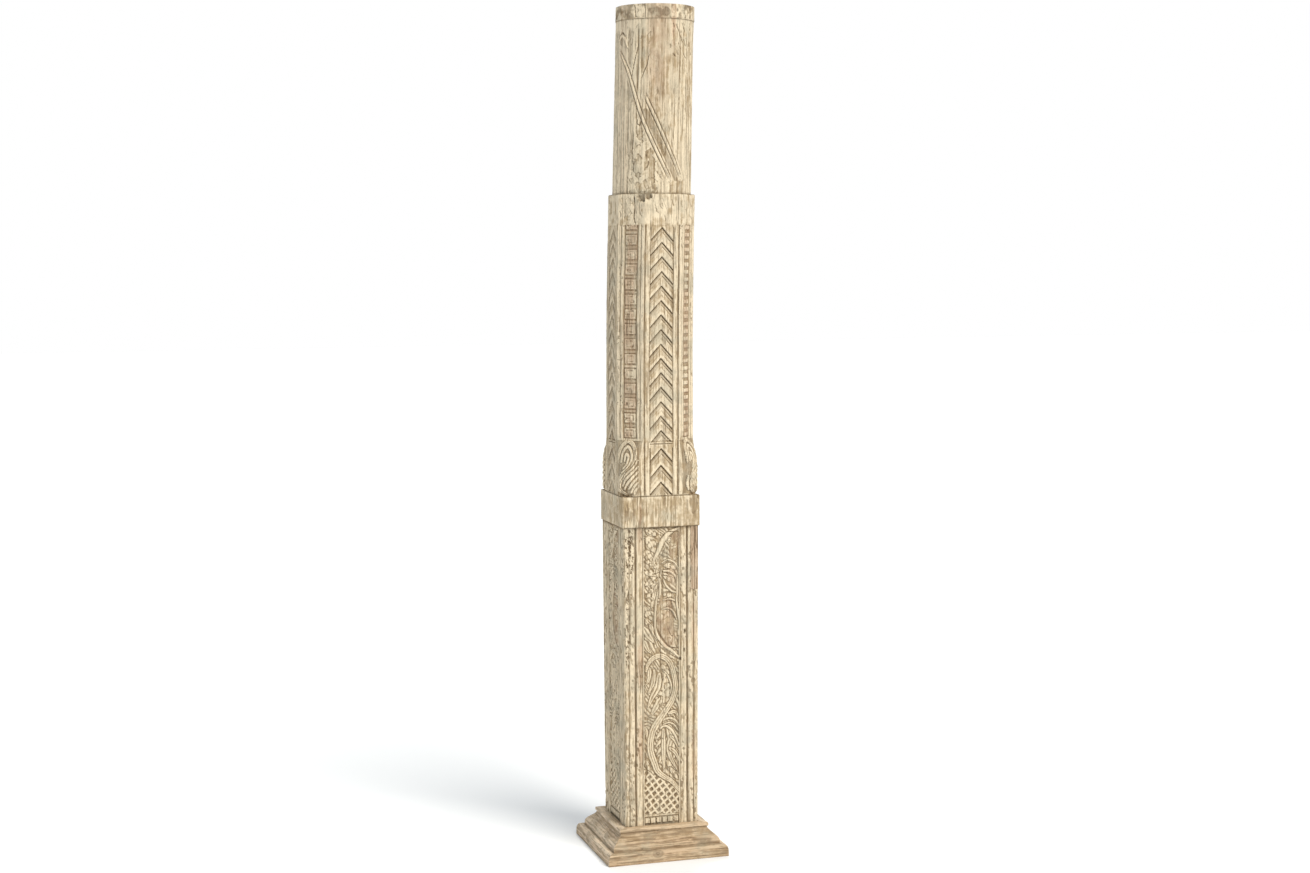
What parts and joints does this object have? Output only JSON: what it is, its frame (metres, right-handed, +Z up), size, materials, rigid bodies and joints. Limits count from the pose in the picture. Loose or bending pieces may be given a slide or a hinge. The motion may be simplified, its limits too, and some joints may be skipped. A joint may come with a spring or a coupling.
{
  "type": "decorative column",
  "caption": "Free-standing carved wooden column: round head, eight-sided chevron shaft, plain collar, square scrollwork shaft and a mitred moulded plinth.",
  "frame": {"origin": "on the floor, under the middle of the column", "axes": "+Z up along the column; -Y is the front face of the square shaft and of the plinth; +X is to the right of someone facing the front"},
  "size_m": [0.326, 0.326, 2.2],
  "materials": {
    "shaft_wood": "old teak, bleached and limed, dry and open-grained, brown in the cuts",
    "patch_wood": "darker let-in strip, dry, with upright cracks",
    "plinth_wood": "warmer tan moulding, grain along each length, lightly waxed"
  },
  "bodies": {
    "root": {"shaft": "shaft_wood", "corner_patch": "patch_wood", "plinth_front": "plinth_wood", "plinth_right": "plinth_wood", "plinth_back": "plinth_wood", "plinth_left": "plinth_wood"}
  },
  "joints": []
}
